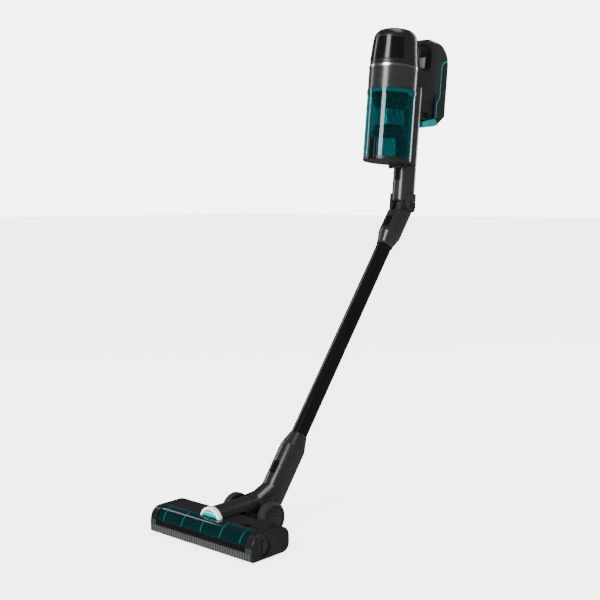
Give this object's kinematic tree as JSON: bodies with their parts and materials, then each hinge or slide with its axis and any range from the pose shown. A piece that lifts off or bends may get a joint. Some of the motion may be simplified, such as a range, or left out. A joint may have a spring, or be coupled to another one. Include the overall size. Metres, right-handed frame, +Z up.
{
  "type": "cordless stick vacuum",
  "caption": "Upright cordless stick vacuum with a motorised brush head, folding wand, see-through dust cup and slide-out battery.",
  "frame": {"origin": "on the floor under the middle of the whole object's box", "axes": "+Z up, floor head's front faces -Y, X across the head"},
  "size_m": [0.2648, 0.7403, 0.9658],
  "materials": {
    "black_plastic": "satin",
    "soft_grip": "soft matt",
    "gunmetal": "metallic satin",
    "dark_cover": "satin",
    "gloss_black": "gloss",
    "silver_ring": "bright satin",
    "teal_clear": "clear tinted",
    "teal_solid": "gloss",
    "steel": "brushed",
    "white_frame": "gloss",
    "teal_lens": "clear, lit",
    "rubber": "matt",
    "bristle": "bristle",
    "core_plastic": "matt",
    "filter_paper": "pleated paper",
    "circuit_green": "satin"
  },
  "bodies": {
    "handheld": {"spine_duct": "gunmetal", "handle_left": "black_plastic", "handle_right": "black_plastic", "grip_back": "soft_grip", "motor_housing": "gunmetal", "housing_ring": "silver_ring", "suction_motor": "steel", "control_board": "circuit_green"},
    "fan": {"impeller": "core_plastic"},
    "trigger": {"trigger": "soft_grip"},
    "filter_cap": {"top_cap": "black_plastic", "cap_visor": "gloss_black", "hepa_filter": "filter_paper"},
    "battery": {"battery_case": "black_plastic", "battery_trim": "teal_solid", "battery_foot": "teal_solid"},
    "battery_release": {"battery_button": "gloss_black"},
    "dust_cup": {"cup_shell": "teal_clear", "cup_collar": "teal_solid", "cyclone_housing": "black_plastic", "cyclone_mesh": "steel"},
    "cup_lid": {"cup_lid": "black_plastic"},
    "lid_latch": {"lid_latch": "gloss_black"},
    "arm": {"flex_arm": "gunmetal", "flex_pins": "steel", "flex_hose": "rubber"},
    "arm_release": {"arm_button": "gloss_black"},
    "knee": {"flex_lower": "gunmetal"},
    "knee_release": {"flex_button": "gloss_black"},
    "wand": {"wand_tube": "gloss_black", "connector_collar": "gunmetal"},
    "socket": {"lower_connector": "gunmetal", "elbow_knuckle": "black_plastic"},
    "socket_release": {"head_button": "gloss_black"},
    "elbow": {"elbow_collar": "gunmetal", "elbow_pins": "steel"},
    "floor_head": {"neck_duct": "black_plastic", "wheel_carrier": "black_plastic", "lens_frame": "white_frame", "headlight_lens": "teal_lens", "head_housing": "black_plastic", "top_cover": "dark_cover", "brush_window": "teal_clear", "end_cap_left": "black_plastic", "end_cap_right": "black_plastic", "front_bumper": "black_plastic", "sole_plate": "black_plastic", "brush_motor": "steel", "drive_belt": "rubber"},
    "wheel_left": {"wheel_left": "dark_cover", "tyre_left": "rubber"},
    "wheel_right": {"wheel_right": "dark_cover", "tyre_right": "rubber"},
    "roller_left": {"roller_left": "rubber"},
    "roller_right": {"roller_right": "rubber"},
    "window_slider": {"window_slider": "gloss_black"},
    "brush_knob": {"brush_knob": "gloss_black"},
    "brush_roll": {"brush_core": "core_plastic", "brush_bristles": "bristle"},
    "brush_rotor": {"motor_rotor": "steel"}
  },
  "joints": [
    {"name": "fan_spin", "type": "hinge", "parent": "handheld", "child": "fan", "pos_m": [0, 0.19006, 0.85464], "axis": [0, 0.1063, 0.9943], "continuous": true},
    {"name": "trigger_pull", "type": "slide", "parent": "handheld", "child": "trigger", "axis": [0, 0.9943, -0.1063], "range_m": [0, 0.005], "stiffness_N_per_m": 500},
    {"name": "cap_lift", "type": "slide", "parent": "handheld", "child": "filter_cap", "axis": [0, 0.1063, 0.9943], "range_m": [0, 0.07]},
    {"name": "battery_slide", "type": "slide", "parent": "handheld", "child": "battery", "axis": [0, -0.1063, -0.9943], "range_m": [0, 0.14]},
    {"name": "battery_release_press", "type": "slide", "parent": "handheld", "child": "battery_release", "axis": [-1, 0, 0], "range_m": [0, 0.003], "stiffness_N_per_m": 600},
    {"name": "cup_pull", "type": "slide", "parent": "handheld", "child": "dust_cup", "axis": [0, -0.9943, 0.1063], "range_m": [0, 0.12]},
    {"name": "lid_hinge", "type": "hinge", "parent": "dust_cup", "child": "cup_lid", "pos_m": [0, 0.20755, 0.68281], "axis": [1, 0, 0], "range_deg": [0, 75]},
    {"name": "lid_latch_slide", "type": "slide", "parent": "dust_cup", "child": "lid_latch", "axis": [0, 0.1063, 0.9943], "range_m": [0, 0.003], "stiffness_N_per_m": 600},
    {"name": "arm_pull", "type": "slide", "parent": "handheld", "child": "arm", "axis": [0, -0.1063, -0.9943], "range_m": [0, 0.04]},
    {"name": "arm_release_press", "type": "slide", "parent": "arm", "child": "arm_release", "axis": [0, 0.9943, -0.1063], "range_m": [0, 0.0025], "stiffness_N_per_m": 600},
    {"name": "knee_fold", "type": "hinge", "parent": "arm", "child": "knee", "pos_m": [0, 0.22877, 0.59908], "axis": [1, 0, 0], "range_deg": [-45, 31], "deforming": ["flex_hose"]},
    {"name": "knee_release_press", "type": "slide", "parent": "knee", "child": "knee_release", "axis": [0, 0.7976, -0.6032], "range_m": [0, 0.0025], "stiffness_N_per_m": 600},
    {"name": "wand_pull", "type": "slide", "parent": "knee", "child": "wand", "axis": [0, -0.6032, -0.7976], "range_m": [0, 0.045]},
    {"name": "socket_pull", "type": "slide", "parent": "wand", "child": "socket", "axis": [0, -0.6032, -0.7976], "range_m": [0, 0.045]},
    {"name": "socket_release_press", "type": "slide", "parent": "socket", "child": "socket_release", "axis": [0, 0.7976, -0.6032], "range_m": [0, 0.0025], "stiffness_N_per_m": 600},
    {"name": "elbow_pitch", "type": "hinge", "parent": "socket", "child": "elbow", "pos_m": [0, -0.20515, 0.057], "axis": [1, 0, 0], "range_deg": [-36, 45]},
    {"name": "neck_swivel", "type": "hinge", "parent": "elbow", "child": "floor_head", "pos_m": [0, -0.24215, 0.043], "axis": [0, 1, 0], "range_deg": [-30, 30]},
    {"name": "wheel_left_spin", "type": "hinge", "parent": "floor_head", "child": "wheel_left", "pos_m": [-0.045, -0.23215, 0.0315], "axis": [1, 0, 0], "continuous": true},
    {"name": "wheel_right_spin", "type": "hinge", "parent": "floor_head", "child": "wheel_right", "pos_m": [0.045, -0.23215, 0.0315], "axis": [1, 0, 0], "continuous": true},
    {"name": "roller_left_spin", "type": "hinge", "parent": "floor_head", "child": "roller_left", "pos_m": [-0.06, -0.29015, 0.005], "axis": [1, 0, 0], "continuous": true},
    {"name": "roller_right_spin", "type": "hinge", "parent": "floor_head", "child": "roller_right", "pos_m": [0.06, -0.29015, 0.005], "axis": [1, 0, 0], "continuous": true},
    {"name": "window_slider_slide", "type": "slide", "parent": "floor_head", "child": "window_slider", "axis": [1, 0, 0], "range_m": [0, 0.014]},
    {"name": "brush_knob_turn", "type": "hinge", "parent": "floor_head", "child": "brush_knob", "pos_m": [0.13, -0.34115, 0.025], "axis": [1, 0, 0], "range_deg": [0, 60]},
    {"name": "brush_rotor_spin", "type": "hinge", "parent": "floor_head", "child": "brush_rotor", "pos_m": [-0.095, -0.29515, 0.025], "axis": [1, 0, 0], "continuous": true},
    {"name": "brush_spin", "type": "hinge", "parent": "floor_head", "child": "brush_roll", "pos_m": [0, -0.34115, 0.025], "axis": [1, 0, 0], "continuous": true}
  ],
  "couplings": [
    {"joint": "brush_spin", "follows": "brush_rotor_spin", "ratio": 0.66667}
  ]
}
